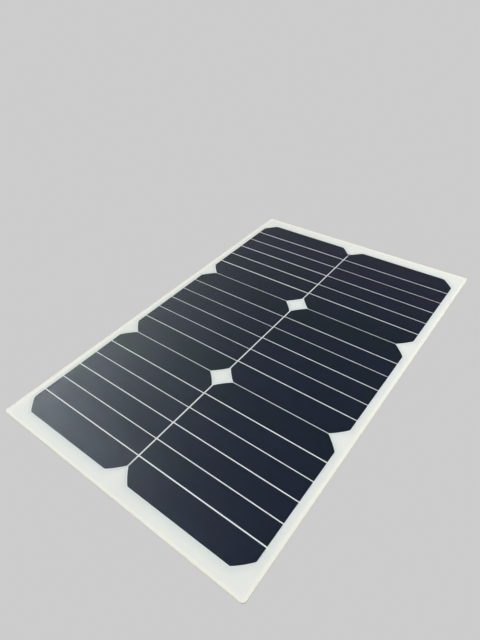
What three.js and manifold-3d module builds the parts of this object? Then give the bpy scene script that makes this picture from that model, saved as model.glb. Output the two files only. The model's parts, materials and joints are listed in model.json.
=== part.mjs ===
// Semi-flexible solar panel: a thin white laminate with two columns of back-contact cells,
// each cell cut into six strips, and a small junction box bonded under one short edge.
// Millimetres. +Y runs along the long side, away from the junction box, +Z out of the front.
// The origin is the centre of the flat rear face.
import * as THREE from "three";
import { mergeVertices } from "three/addons/utils/BufferGeometryUtils.js";
import Module from "manifold-3d";

const wasm = await Module();
wasm.setup();

// ---------------------------------------------------------------- driving dimensions

// The room round a piece that turns, and how far a cutting solid runs past the face it cuts.
const RUNNING_PLAY = 0.3;
const OVERRUN = 1;

// Laminate outline and white borders round the cells.
const PANEL_WIDTH = 269;
const PANEL_LENGTH = 419.5;
const PANEL_CORNER_RADIUS = 3;
const BORDER_LEFT = 8.6;
const BORDER_NEAR = 13.4;

// Laminate layers, from the rear face up.
const REAR_SHEET = 0.3;
const BOARD = 1.2;
const REAR_ENCAPSULANT = 0.4;
const CELL = 0.2;
const FRONT_ENCAPSULANT = 0.2;
const FRONT_FILM = 0.2;

// Cells: 125 mm squares from a 160 mm ingot, so the corners are arcs of the ingot's circle.
const CELL_WIDTH = 125;
const INGOT_RADIUS = 80;
const STRIPS_PER_CELL = 6;
const CELLS_PER_COLUMN = 3;
const INNER_STRIP = 19.2;
const END_STRIP = 23.8; // wider than the rest, so that a cut corner costs it no area
const COLUMN_GAP = 1.45;
const CELL_GAP = 0.85;
// The strips are laid by hand: the mean gap in each cell, and how each of its five gaps differs.
const STRIP_GAPS = { left: [1.0, 0.9, 1.25], right: [1.1, 1.0, 1.05] };
const GAP_SHARES = [1.1, 0.95, 1.0, 0.9, 1.05];
const POCKET_PLAY = 0.1;

// Tinned ribbons that lead the current out of the cells.
const RIBBON_WIDTH = 5;
const RIBBON_THICKNESS = 0.2;
const RIBBON_BEND_X = 4;
const RIBBON_REACH = 8;
const RIBBON_FOOT_REACH = 10;
const RIBBON_FOOT_Z = -7.9;
const SLOT_PLAY = 0.5;

// Junction box, bonded to the rear face.
const BOX_WIDTH = 62;
const BOX_LENGTH = 56;
const BOX_CENTRE_Y = -168;
const BOX_CORNER_RADIUS = 6;
const BOX_WALL = 2;
const PAD = 0.8;
const PAD_INSET = 1;
const BOX_MOUTH_Z = -18;
const GASKET = 0.8;
const GASKET_INSET = 0.4;
const LID = 2.4;
const LID_RIM_HEIGHT = 2.2;
const LID_RIM_WALL = 1.4;
const LID_RIM_PLAY = 0.4;
const LID_RIM_CORNER_RADIUS = 2;
const THUMB_TAB = { width: 14, root: 2, reach: 3, thickness: 1.4 };
const WINDOW = { halfWidth: 9, low: -189, high: -180, padPlay: 1 };

// Lid hinge, along the box's left side.
const HINGE_X = -34.5;
const HINGE_RADIUS = 2.8;
const HINGE_PIN_RADIUS = 1.2;
const LUG = { offset: 19, width: 4, height: 6 };
const KNUCKLE = { offset: 12.5, width: 8 };
const HINGE_PIN_LENGTH = 44;

// Terminals and diode.
const TERMINAL = { x: 12, width: 9, low: -171, high: -159, height: 8 };
const CARRIER = { width: 42, play: 2, thickness: 2 };
const WIRE_BORE_RADIUS = 1.6;
const SCREW = { shank: 1.3, head: 2.75, headHeight: 2.2, slot: 0.8, slotDepth: 1 };
const DIODE = { radius: 2.6, low: -181.5, high: -173, lead: 0.6, tail: 1 };
const SOLDER_GAP = 0.3;

// Cable gland, on the box's far wall.
const GLAND_Z = -9.7;
const GLAND_BORE = 3.3;
const GLAND_THREAD = 5;
const GLAND_NECK = 5.2;
const GLAND_NECK_LENGTH = 9;
const GLAND_FLATS = 14;
const GLAND_FLANGE = 5;
const GLAND_INSIDE = 6;
const LOCK_NUT = { flats: 13, length: 3.5 };
const SEAL = { radius: 4.3, length: 6 };
const NUT = { length: 9, dome: 4, mouth: 3.6, lip: 1.6, start: 0.4 };

// ---------------------------------------------------------------- derived levels and places

const Z_REAR = 0;
const Z_BOARD = Z_REAR + REAR_SHEET;
const Z_REAR_ENCAPSULANT = Z_BOARD + BOARD;
const Z_CELL = Z_REAR_ENCAPSULANT + REAR_ENCAPSULANT;
const Z_FRONT_ENCAPSULANT = Z_CELL + CELL;
const Z_FILM = Z_FRONT_ENCAPSULANT + FRONT_ENCAPSULANT;
const Z_FRONT = Z_FILM + FRONT_FILM;

const COLUMN_X = {
  left: -PANEL_WIDTH / 2 + BORDER_LEFT + CELL_WIDTH / 2,
  right: -PANEL_WIDTH / 2 + BORDER_LEFT + CELL_WIDTH * 1.5 + COLUMN_GAP,
};
const MIDDLE_X = (COLUMN_X.left + COLUMN_X.right) / 2;
const ARRAY_START_Y = -PANEL_LENGTH / 2 + BORDER_NEAR;
const RIBBON_Y = ARRAY_START_Y + END_STRIP / 2;
const BOX_FLOOR_Z = -PAD - BOX_WALL;
const LID_TOP_Z = BOX_MOUTH_Z - GASKET;
const LID_OUTER_Z = LID_TOP_Z - LID;
const HINGE_Z = LID_OUTER_Z + HINGE_RADIUS;
const BLOCK_TOP_Z = BOX_FLOOR_Z - CARRIER.thickness;
const BLOCK_LOW_Z = BLOCK_TOP_Z - TERMINAL.height;
const WIRE_Z = (BLOCK_TOP_Z + BLOCK_LOW_Z) / 2;
const WALL_Y = BOX_CENTRE_Y + BOX_LENGTH / 2;

// ---------------------------------------------------------------- finishes

const finish = (color, roughness, metalness = 0, opacity = 1) =>
  new THREE.MeshStandardMaterial({
    color,
    roughness,
    metalness,
    opacity,
    transparent: opacity < 1,
  });
const FINISHES = {
  film: finish(0xeef2f0, 0.35, 0, 0.2),
  clearEncapsulant: finish(0xf0f2ee, 0.3, 0, 0.25),
  whiteEncapsulant: finish(0xe6eae6, 0.6),
  silicon: finish(0x23273a, 0.4),
  board: finish(0xe4e6e0, 0.7),
  sheet: finish(0xf0f0ec, 0.6),
  ribbon: finish(0xc8c8c4, 0.35, 0.9),
  blackPlastic: finish(0x1c1c1e, 0.55),
  rubber: finish(0x2a2a2a, 0.85),
  brass: finish(0xb59a57, 0.35, 0.9),
  steel: finish(0xb8babc, 0.3, 0.9),
  diode: finish(0x151515, 0.4),
};

// ---------------------------------------------------------------- shapes and solids

// A manifold-3d solid from a closed three.js geometry.
function solidOf(geometry) {
  const bare = geometry.clone();
  bare.deleteAttribute("normal");
  bare.deleteAttribute("uv");
  const merged = mergeVertices(bare, 1e-4);
  return new wasm.Manifold(
    new wasm.Mesh({
      numProp: 3,
      vertProperties: merged.attributes.position.array,
      triVerts: new Uint32Array(merged.index.array),
    }),
  );
}

// A three.js geometry from a manifold-3d solid.
function geometryOf(solid) {
  const mesh = solid.getMesh();
  const geometry = new THREE.BufferGeometry();
  geometry.setAttribute("position", new THREE.BufferAttribute(mesh.vertProperties, 3));
  geometry.setIndex(new THREE.BufferAttribute(mesh.triVerts, 1));
  return geometry;
}

// One geometry: the first, with each of the others joined to it.
function join(first, ...others) {
  let solid = solidOf(first);
  for (const other of others) {
    solid = solid.add(solidOf(other));
  }
  return geometryOf(solid);
}

// One geometry: the first, with each of the others cut out of it.
function cut(first, ...others) {
  let solid = solidOf(first);
  for (const other of others) {
    solid = solid.subtract(solidOf(other));
  }
  return geometryOf(solid);
}

// An outline raised between two heights, whose faces lie exactly on those heights.
function slab(shape, low, high) {
  const geometry = new THREE.ExtrudeGeometry(shape, {
    depth: 1,
    bevelEnabled: false,
    curveSegments: 6,
  });
  const position = geometry.attributes.position;
  for (let i = 0; i < position.count; i += 1) {
    position.setZ(i, position.getZ(i) < 0.5 ? low : high);
  }
  return geometry;
}

// A box from its lowest and highest corners.
function block(x0, y0, z0, x1, y1, z1) {
  const shape = new THREE.Shape();
  shape.moveTo(x0, y0);
  shape.lineTo(x1, y0);
  shape.lineTo(x1, y1);
  shape.lineTo(x0, y1);
  return slab(shape, z0, z1);
}

// A rectangle with round corners, centred on x = 0.
function roundedRectangle(width, length, radius, centreY = 0) {
  const x = width / 2 - radius;
  const y = length / 2 - radius;
  const shape = new THREE.Shape();
  shape.absarc(x, centreY - y, radius, -Math.PI / 2, 0, false);
  shape.absarc(x, centreY + y, radius, 0, Math.PI / 2, false);
  shape.absarc(-x, centreY + y, radius, Math.PI / 2, Math.PI, false);
  shape.absarc(-x, centreY - y, radius, Math.PI, Math.PI * 1.5, false);
  return shape;
}

// A rod along +Y from one place to another, round its own axis through (x, z).
function rodY(radius, y0, y1, x, z, sides = 24) {
  const geometry = new THREE.CylinderGeometry(radius, radius, y1 - y0, sides);
  return geometry.translate(x, (y0 + y1) / 2, z);
}

// A rod along +Z from one height to another.
function rodZ(radius, z0, z1, x, y, sides = 20) {
  const geometry = new THREE.CylinderGeometry(radius, radius, z1 - z0, sides);
  return geometry.rotateX(Math.PI / 2).translate(x, y, (z0 + z1) / 2);
}

// A hexagonal bar along +Y, with a flat at the top, given its width across the flats.
function hexBarY(flats, y0, y1, z) {
  const corner = flats / Math.sqrt(3);
  const geometry = new THREE.CylinderGeometry(corner, corner, y1 - y0, 6);
  return geometry.rotateY(Math.PI / 6).translate(0, (y0 + y1) / 2, z);
}

function addPart(group, name, geometry, material) {
  const mesh = new THREE.Mesh(geometry, material);
  mesh.name = name;
  group.add(mesh);
  return mesh;
}

// ---------------------------------------------------------------- strips

// One strip's outline, centred on its own middle. side is -1 for the near end strip of a
// cell, 1 for the far end strip and 0 between them; grow widens the outline all round.
function stripOutline(height, side, grow = 0) {
  const x = CELL_WIDTH / 2 + grow;
  const y = height / 2 + grow;
  const shape = new THREE.Shape();
  if (side === 0) {
    shape.moveTo(-x, -y);
    shape.lineTo(x, -y);
    shape.lineTo(x, y);
    shape.lineTo(-x, y);
    return shape;
  }
  // The ingot's centre, seen from the middle of an end strip.
  const centreY = -side * (CELL_WIDTH / 2 - height / 2);
  const radius = INGOT_RADIUS + grow;
  const steep = Math.acos(x / radius);
  const shallow = Math.asin((CELL_WIDTH / 2 + grow) / radius);
  if (side > 0) {
    shape.moveTo(-x, -y);
    shape.lineTo(x, -y);
    shape.absarc(0, centreY, radius, steep, shallow, false);
    shape.absarc(0, centreY, radius, Math.PI - shallow, Math.PI - steep, false);
  } else {
    shape.moveTo(x, y);
    shape.lineTo(-x, y);
    shape.absarc(0, centreY, radius, Math.PI + steep, Math.PI + shallow, false);
    shape.absarc(0, centreY, radius, -shallow, -steep, false);
  }
  return shape;
}

// Every strip's name, centre, height and side, laid from the near border up each column.
function layStrips() {
  const strips = [];
  for (const column of ["left", "right"]) {
    let y = ARRAY_START_Y;
    for (let cell = 0; cell < CELLS_PER_COLUMN; cell += 1) {
      for (let strip = 0; strip < STRIPS_PER_CELL; strip += 1) {
        const first = strip === 0;
        const last = strip === STRIPS_PER_CELL - 1;
        const height = first || last ? END_STRIP : INNER_STRIP;
        strips.push({
          name: `${column}_cell_${cell + 1}_strip_${strip + 1}`,
          x: COLUMN_X[column],
          y: y + height / 2,
          height,
          side: last - first,
        });
        y += height + (last ? CELL_GAP : STRIP_GAPS[column][cell] * GAP_SHARES[strip]);
      }
    }
  }
  return strips;
}

// ---------------------------------------------------------------- laminate

// The slot that lets a ribbon through the rear layers; side is -1 or 1.
function ribbonSlot(side, low, high) {
  const near = side * (RIBBON_BEND_X - SLOT_PLAY);
  const far = side * (RIBBON_BEND_X + RIBBON_THICKNESS + SLOT_PLAY);
  const halfWidth = RIBBON_WIDTH / 2 + SLOT_PLAY;
  return block(
    Math.min(near, far),
    RIBBON_Y - halfWidth,
    low,
    Math.max(near, far),
    RIBBON_Y + halfWidth,
    high,
  );
}

function buildLaminate() {
  const laminate = new THREE.Group();
  const outline = roundedRectangle(PANEL_WIDTH, PANEL_LENGTH, PANEL_CORNER_RADIUS);
  const slots = (low, high) =>
    [-1, 1].map((side) => ribbonSlot(side, low - OVERRUN, high + OVERRUN));
  const rearSheet = cut(slab(outline, Z_REAR, Z_BOARD), ...slots(Z_REAR, Z_BOARD));
  addPart(laminate, "rear_sheet", rearSheet, FINISHES.sheet);
  const board = cut(
    slab(outline, Z_BOARD, Z_REAR_ENCAPSULANT),
    ...slots(Z_BOARD, Z_REAR_ENCAPSULANT),
  );
  addPart(laminate, "backing_board", board, FINISHES.board);

  const strips = layStrips();
  const lastStrip = strips[strips.length - 1];
  const pocketLow = Z_CELL - RIBBON_THICKNESS - POCKET_PLAY;
  const pocketHigh = Z_CELL + OVERRUN;
  const crossReach = COLUMN_GAP / 2 + RIBBON_REACH;
  const halfRibbon = RIBBON_WIDTH / 2;
  const pocketHalf = halfRibbon + POCKET_PLAY;
  const crossPocket = block(
    MIDDLE_X - crossReach - POCKET_PLAY,
    lastStrip.y - pocketHalf,
    pocketLow,
    MIDDLE_X + crossReach + POCKET_PLAY,
    lastStrip.y + pocketHalf,
    pocketHigh,
  );
  const leadPockets = [-1, 1].map((side) => {
    const bend = side * RIBBON_BEND_X;
    const end = bend + side * (RIBBON_REACH + POCKET_PLAY);
    return block(
      Math.min(bend, end),
      RIBBON_Y - pocketHalf,
      pocketLow,
      Math.max(bend, end),
      RIBBON_Y + pocketHalf,
      pocketHigh,
    );
  });
  const rearEncapsulant = cut(
    slab(outline, Z_REAR_ENCAPSULANT, Z_CELL),
    ...slots(Z_REAR_ENCAPSULANT, Z_CELL),
    ...leadPockets,
    crossPocket,
  );
  addPart(laminate, "rear_encapsulant", rearEncapsulant, FINISHES.whiteEncapsulant);

  for (const strip of strips) {
    const outlineOfStrip = stripOutline(strip.height, strip.side);
    const geometry = slab(outlineOfStrip, Z_CELL, Z_FRONT_ENCAPSULANT);
    const mesh = addPart(laminate, strip.name, geometry, FINISHES.silicon);
    mesh.position.set(strip.x, strip.y, 0);
  }
  const pockets = strips.map((strip) => {
    const pocket = stripOutline(strip.height, strip.side, POCKET_PLAY);
    return slab(pocket, Z_CELL - OVERRUN, Z_FRONT_ENCAPSULANT).translate(strip.x, strip.y, 0);
  });
  const frontEncapsulant = cut(slab(outline, Z_CELL, Z_FILM), ...pockets);
  addPart(laminate, "front_encapsulant", frontEncapsulant, FINISHES.clearEncapsulant);
  addPart(laminate, "front_film", slab(outline, Z_FILM, Z_FRONT), FINISHES.film);

  const crossRibbon = block(
    MIDDLE_X - crossReach,
    lastStrip.y - halfRibbon,
    Z_CELL - RIBBON_THICKNESS,
    MIDDLE_X + crossReach,
    lastStrip.y + halfRibbon,
    Z_CELL,
  );
  addPart(laminate, "cross_ribbon", crossRibbon, FINISHES.ribbon);
  return laminate;
}

// ---------------------------------------------------------------- lead-out ribbons

// A ribbon in the plane y = constant: under the strip, down through the slot, along its foot.
function leadRibbon(side, ...feet) {
  const low = RIBBON_Y - RIBBON_WIDTH / 2;
  const high = RIBBON_Y + RIBBON_WIDTH / 2;
  const footLow = RIBBON_FOOT_Z;
  const footHigh = RIBBON_FOOT_Z + RIBBON_THICKNESS;
  const span = (x0, x1, z0, z1) =>
    block(Math.min(side * x0, side * x1), low, z0, Math.max(side * x0, side * x1), high, z1);
  const bend = RIBBON_BEND_X;
  const thick = RIBBON_THICKNESS;
  return join(
    span(bend, bend + RIBBON_REACH, Z_CELL - thick, Z_CELL),
    span(bend, bend + thick, footLow, Z_CELL),
    span(bend, bend + RIBBON_FOOT_REACH, footLow, footHigh),
    ...feet,
  );
}

function buildRibbons() {
  const ribbons = new THREE.Group();
  addPart(ribbons, "positive_ribbon", leadRibbon(-1), FINISHES.ribbon);
  // The negative ribbon's foot turns and runs on to its terminal.
  const outer = RIBBON_BEND_X + RIBBON_FOOT_REACH;
  const turn = block(
    outer - RIBBON_WIDTH,
    RIBBON_Y,
    RIBBON_FOOT_Z,
    outer,
    TERMINAL.low - SOLDER_GAP,
    RIBBON_FOOT_Z + RIBBON_THICKNESS,
  );
  addPart(ribbons, "negative_ribbon", leadRibbon(1, turn), FINISHES.ribbon);
  return ribbons;
}

// ---------------------------------------------------------------- junction box

const boxOutline = (inset, radius) =>
  roundedRectangle(BOX_WIDTH - 2 * inset, BOX_LENGTH - 2 * inset, radius, BOX_CENTRE_Y);

// One leaf of the hinge: a barrel round the pin and an arm to the box's side.
function hingeLeaf(offset, width, armLow, armHigh, armReach) {
  const y0 = BOX_CENTRE_Y + offset - width / 2;
  const y1 = y0 + width;
  const barrel = rodY(HINGE_RADIUS, y0, y1, HINGE_X, HINGE_Z);
  const arm = block(HINGE_X, y0, armLow, HINGE_X + armReach, y1, armHigh);
  return join(barrel, arm);
}

function hingeBore() {
  const radius = HINGE_PIN_RADIUS + RUNNING_PLAY;
  const half = HINGE_PIN_LENGTH / 2 + OVERRUN;
  return rodY(radius, BOX_CENTRE_Y - half, BOX_CENTRE_Y + half, HINGE_X, HINGE_Z);
}

function buildBoxShell() {
  const shell = new THREE.Group();
  const window = (play) =>
    block(
      -WINDOW.halfWidth - play,
      WINDOW.low - play,
      BOX_FLOOR_Z - OVERRUN,
      WINDOW.halfWidth + play,
      WINDOW.high + play,
      Z_REAR + OVERRUN,
    );
  const padOutline = boxOutline(PAD_INSET, BOX_CORNER_RADIUS - PAD_INSET);
  const pad = cut(slab(padOutline, -PAD, Z_REAR), window(WINDOW.padPlay));
  addPart(shell, "adhesive_pad", pad, FINISHES.rubber);

  const wallReach = -BOX_WIDTH / 2 - HINGE_X + BOX_WALL / 2;
  const lugs = [-1, 1].map((side) =>
    hingeLeaf(side * LUG.offset, LUG.width, BOX_MOUTH_Z, BOX_MOUTH_Z + LUG.height, wallReach),
  );
  const inside = boxOutline(BOX_WALL, BOX_CORNER_RADIUS - BOX_WALL);
  const walls = cut(
    slab(boxOutline(0, BOX_CORNER_RADIUS), BOX_MOUTH_Z, -PAD),
    slab(inside, BOX_MOUTH_Z - OVERRUN, BOX_FLOOR_Z),
  );
  const glandHole = rodY(
    GLAND_THREAD + RUNNING_PLAY,
    WALL_Y - BOX_WALL - OVERRUN,
    WALL_Y + OVERRUN,
    0,
    GLAND_Z,
  );
  const base = cut(join(walls, ...lugs), window(0), hingeBore(), glandHole);
  addPart(shell, "junction_box_base", base, FINISHES.blackPlastic);

  const gasketOutline = boxOutline(GASKET_INSET, BOX_CORNER_RADIUS - GASKET_INSET);
  const gasketInside = boxOutline(BOX_WALL - GASKET_INSET, BOX_CORNER_RADIUS - BOX_WALL);
  const gasket = cut(
    slab(gasketOutline, LID_TOP_Z, BOX_MOUTH_Z),
    slab(gasketInside, LID_TOP_Z - OVERRUN, BOX_MOUTH_Z + OVERRUN),
  );
  addPart(shell, "lid_gasket", gasket, FINISHES.rubber);

  const rimInset = BOX_WALL + LID_RIM_PLAY;
  const rimOutline = boxOutline(rimInset, BOX_CORNER_RADIUS - rimInset);
  const rimInside = boxOutline(rimInset + LID_RIM_WALL, LID_RIM_CORNER_RADIUS);
  const rimTop = LID_TOP_Z + LID_RIM_HEIGHT;
  const rim = cut(
    slab(rimOutline, LID_TOP_Z - LID / 2, rimTop),
    slab(rimInside, LID_TOP_Z, rimTop + OVERRUN),
  );
  const plateReach = -BOX_WIDTH / 2 - HINGE_X + BOX_CORNER_RADIUS;
  const knuckles = [-1, 1].map((side) =>
    hingeLeaf(side * KNUCKLE.offset, KNUCKLE.width, LID_OUTER_Z, LID_TOP_Z, plateReach),
  );
  const tab = block(
    BOX_WIDTH / 2 - THUMB_TAB.root,
    BOX_CENTRE_Y - THUMB_TAB.width / 2,
    LID_OUTER_Z,
    BOX_WIDTH / 2 + THUMB_TAB.reach,
    BOX_CENTRE_Y + THUMB_TAB.width / 2,
    LID_OUTER_Z + THUMB_TAB.thickness,
  );
  const plate = slab(boxOutline(0, BOX_CORNER_RADIUS), LID_OUTER_Z, LID_TOP_Z);
  const lid = cut(join(plate, rim, tab, ...knuckles), hingeBore());
  addPart(shell, "junction_box_lid", lid, FINISHES.blackPlastic);

  const half = HINGE_PIN_LENGTH / 2;
  const pin = rodY(HINGE_PIN_RADIUS, BOX_CENTRE_Y - half, BOX_CENTRE_Y + half, HINGE_X, HINGE_Z, 16);
  addPart(shell, "hinge_pin", pin, FINISHES.steel);
  return shell;
}

// A terminal block with a bore for the wire and a slotted screw that clamps it.
function addTerminal(group, name, side) {
  const x = side * TERMINAL.x;
  const y = (TERMINAL.low + TERMINAL.high) / 2;
  const half = TERMINAL.width / 2;
  const bore = rodY(WIRE_BORE_RADIUS, TERMINAL.low - OVERRUN, TERMINAL.high + OVERRUN, x, WIRE_Z, 16);
  const screwHole = rodZ(SCREW.shank + RUNNING_PLAY, BLOCK_LOW_Z - OVERRUN, WIRE_Z, x, y);
  const body = cut(
    block(x - half, TERMINAL.low, BLOCK_LOW_Z, x + half, TERMINAL.high, BLOCK_TOP_Z),
    bore,
    screwHole,
  );
  addPart(group, `${name}_terminal`, body, FINISHES.brass);
  const headLow = BLOCK_LOW_Z - SCREW.headHeight;
  const slotHalf = SCREW.slot / 2;
  const slotReach = SCREW.head + OVERRUN;
  const slot = block(
    x - slotReach,
    y - slotHalf,
    headLow - OVERRUN,
    x + slotReach,
    y + slotHalf,
    headLow + SCREW.slotDepth,
  );
  const screw = cut(
    join(
      rodZ(SCREW.head, headLow, BLOCK_LOW_Z, x, y),
      rodZ(SCREW.shank, headLow + SCREW.headHeight / 2, WIRE_Z - WIRE_BORE_RADIUS / 2, x, y),
    ),
    slot,
  );
  addPart(group, `${name}_terminal_screw`, screw, FINISHES.steel);
}

function buildTerminals() {
  const terminals = new THREE.Group();
  const carrier = block(
    -CARRIER.width / 2,
    TERMINAL.low - CARRIER.play,
    BLOCK_TOP_Z,
    CARRIER.width / 2,
    TERMINAL.high + CARRIER.play / 2,
    BOX_FLOOR_Z,
  );
  addPart(terminals, "terminal_carrier", carrier, FINISHES.blackPlastic);
  addTerminal(terminals, "positive", -1);
  addTerminal(terminals, "negative", 1);
  const diode = join(
    rodY(DIODE.radius, DIODE.low, DIODE.high, -TERMINAL.x, WIRE_Z, 20),
    rodY(DIODE.lead, RIBBON_Y - DIODE.tail, TERMINAL.low - SOLDER_GAP, -TERMINAL.x, WIRE_Z, 10),
  );
  addPart(terminals, "blocking_diode", diode, FINISHES.diode);
  return terminals;
}

// ---------------------------------------------------------------- cable gland

function buildGland() {
  const gland = new THREE.Group();
  const inner = WALL_Y - BOX_WALL - GLAND_INSIDE;
  const flangeEnd = WALL_Y + GLAND_FLANGE;
  const neckEnd = flangeEnd + GLAND_NECK_LENGTH;
  const bore = (radius, y0, y1) => rodY(radius, y0, y1, 0, GLAND_Z);
  const seat = SEAL.radius + SOLDER_GAP;
  const body = cut(
    join(
      bore(GLAND_THREAD, inner, WALL_Y + OVERRUN),
      hexBarY(GLAND_FLATS, WALL_Y, flangeEnd, GLAND_Z),
      bore(GLAND_NECK, flangeEnd - OVERRUN, neckEnd),
    ),
    bore(GLAND_BORE, inner - OVERRUN, neckEnd + OVERRUN),
    bore(seat, neckEnd - SEAL.length, neckEnd + OVERRUN),
  );
  addPart(gland, "gland_body", body, FINISHES.blackPlastic);

  const lockEnd = WALL_Y - BOX_WALL;
  const lockStart = lockEnd - LOCK_NUT.length;
  const lockNut = cut(
    hexBarY(LOCK_NUT.flats, lockStart, lockEnd, GLAND_Z),
    bore(GLAND_THREAD + RUNNING_PLAY, lockStart - OVERRUN, lockEnd + OVERRUN),
  );
  addPart(gland, "gland_lock_nut", lockNut, FINISHES.blackPlastic);

  const seal = cut(
    bore(SEAL.radius, neckEnd - SEAL.length, neckEnd),
    bore(GLAND_BORE, neckEnd - SEAL.length - OVERRUN, neckEnd + OVERRUN),
  );
  addPart(gland, "gland_seal", seal, FINISHES.rubber);

  const nutStart = flangeEnd + NUT.start;
  const domeStart = nutStart + NUT.length;
  const domeEnd = domeStart + NUT.dome;
  const dome = new THREE.CylinderGeometry(NUT.mouth + NUT.lip, GLAND_FLATS / 2, NUT.dome, 24);
  const nut = cut(
    join(
      hexBarY(GLAND_FLATS, nutStart, domeStart, GLAND_Z),
      dome.translate(0, (domeStart + domeEnd) / 2, GLAND_Z),
    ),
    bore(GLAND_NECK + RUNNING_PLAY, nutStart - OVERRUN, neckEnd + RUNNING_PLAY),
    bore(NUT.mouth, nutStart, domeEnd + OVERRUN),
  );
  addPart(gland, "gland_nut", nut, FINISHES.blackPlastic);
  return gland;
}

// ---------------------------------------------------------------- the panel

const solarPanel = new THREE.Group();
solarPanel.add(buildLaminate(), buildRibbons(), buildBoxShell(), buildTerminals(), buildGland());

export default solarPanel;
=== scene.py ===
"""Semi-flexible solar panel on a pale studio floor.

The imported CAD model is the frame. New pieces stand for the nodes whose surface needs more than a
plain solid: the laminate's skins and strips, the junction box under it and its cable gland.
Sizes in the classes are millimetres. Blender's own lengths are metres.
"""

import json
import logging
import math
from dataclasses import dataclass
from enum import Enum

import bmesh
import bpy
import numpy as np
from mathutils import Matrix, Quaternion, Vector

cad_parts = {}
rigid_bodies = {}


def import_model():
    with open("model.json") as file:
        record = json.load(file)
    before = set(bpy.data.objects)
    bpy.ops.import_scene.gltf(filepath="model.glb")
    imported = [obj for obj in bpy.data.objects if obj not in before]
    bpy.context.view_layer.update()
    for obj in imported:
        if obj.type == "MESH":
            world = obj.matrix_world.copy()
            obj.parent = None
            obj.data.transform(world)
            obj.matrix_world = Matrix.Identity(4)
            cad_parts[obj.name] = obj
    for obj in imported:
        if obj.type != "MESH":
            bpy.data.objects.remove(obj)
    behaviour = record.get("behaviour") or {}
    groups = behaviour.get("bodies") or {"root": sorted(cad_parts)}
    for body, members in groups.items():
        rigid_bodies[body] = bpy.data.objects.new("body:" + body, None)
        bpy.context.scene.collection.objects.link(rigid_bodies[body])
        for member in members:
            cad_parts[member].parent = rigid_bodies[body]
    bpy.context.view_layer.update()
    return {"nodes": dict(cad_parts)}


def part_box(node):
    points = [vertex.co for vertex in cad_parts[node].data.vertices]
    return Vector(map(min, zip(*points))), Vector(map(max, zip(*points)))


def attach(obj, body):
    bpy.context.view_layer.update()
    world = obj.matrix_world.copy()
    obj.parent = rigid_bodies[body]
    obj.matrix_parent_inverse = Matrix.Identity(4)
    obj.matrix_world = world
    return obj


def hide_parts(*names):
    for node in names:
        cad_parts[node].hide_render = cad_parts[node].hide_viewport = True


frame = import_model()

Tree = bpy.types.NodeTree
Socket = bpy.types.NodeSocket
Piece = bpy.types.Object
Place = tuple[float, float, float]
Outline = list[tuple[float, float]]

MM = 0.001
SEED = 20
WHITE_LIGHT = (1.0, 1.0, 1.0, 1.0)
NOISE_LOW, NOISE_HIGH = 0.3, 0.7  # nearly all of a noise lies between these
WELD = 0.004  # corners of a CAD node within so many millimetres are one
FLAT = 0.5  # facets of a CAD node within so many degrees are one
HARD, RAISED_HARD, TURNED_HARD = 35.0, 30.0, 38.0  # degrees past which an edge is hard
TURN_STEPS = 48  # faces round a turned piece
TURN_MERGE = 0.002  # points of a turned piece within so many millimetres are one
log = logging.getLogger("solar_panel")


# ---------------- small tools


def linear(colour: str) -> tuple[float, float, float, float]:
    """Turns an sRGB colour into Blender's linear one.

    Args:
        colour: six hex digits after a hash.

    Returns:
        Linear red, green, blue and an alpha of 1.
    """
    parts = [int(colour[i : i + 2], 16) / 255 for i in (1, 3, 5)]
    bent = [c / 12.92 if c <= 0.04045 else ((c + 0.055) / 1.055) ** 2.4 for c in parts]
    return (*bent, 1.0)


def add_node(
    tree: Tree,
    kind: str,
    inputs: dict[int | str, object] | None = None,
    out: int | str = 0,
    **settings: object,
) -> Socket | None:
    """Adds one node with its settings and its links.

    Inputs go by name, or by number where a node repeats its names. A Map Range node reads its
    value at 0, the old range at 1 and 2 and the new one at 3 and 4. A Mix node of colours reads
    the second colour's share at 0, and the colours at 6 and 7.

    Args:
        tree: the tree that gets the node.
        kind: the node's type, without its leading "ShaderNode".
        inputs: for each input, a value to hold or an output socket to read.
        out: which of the node's outputs is wanted.
        **settings: the node's own properties.

    Returns:
        That output, or None for a node that ends the tree.
    """
    node = tree.nodes.new("ShaderNode" + kind)
    for name, value in settings.items():
        setattr(node, name, value)
    for key, value in (inputs or {}).items():
        if isinstance(value, Socket):
            tree.links.new(value, node.inputs[key])
        else:
            node.inputs[key].default_value = value
    return node.outputs[out] if node.outputs else None


def box_mm(node: str) -> tuple[np.ndarray, np.ndarray]:
    """Gives a CAD node's lowest and highest corners in millimetres.

    Args:
        node: the node's name.

    Returns:
        The two corners, as arrays of three numbers.
    """
    low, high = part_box(node)
    return np.array(low) / MM, np.array(high) / MM


# ---------------- finishes


class SiliconTint(Enum):
    """The casts that the coating takes as its thickness drifts: its body and its reflection."""

    BLUE = ("#0a1126", "#cfe2f1")
    VIOLET = ("#100f26", "#dcdcf3")
    GREEN = ("#08121e", "#bce6dc")


@dataclass(frozen=True)
class Finish:
    """What a surface is made of and how it was made."""

    name: str

    def material(self) -> bpy.types.Material:
        """Gives this finish's material, and makes it on its first use.

        Returns:
            The material.
        """
        made = bpy.data.materials.get(self.name)
        if made is None:
            made = bpy.data.materials.new(self.name)
            made.use_nodes = True
            made.node_tree.nodes.clear()
            surface = self.surface(made.node_tree)
            add_node(made.node_tree, "OutputMaterial", {"Surface": surface})
        return made

    def surface(self, tree: Tree) -> Socket:
        """Builds the finish's shader.

        Args:
            tree: the material's tree.

        Returns:
            The shader's output.
        """
        raise NotImplementedError


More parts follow.
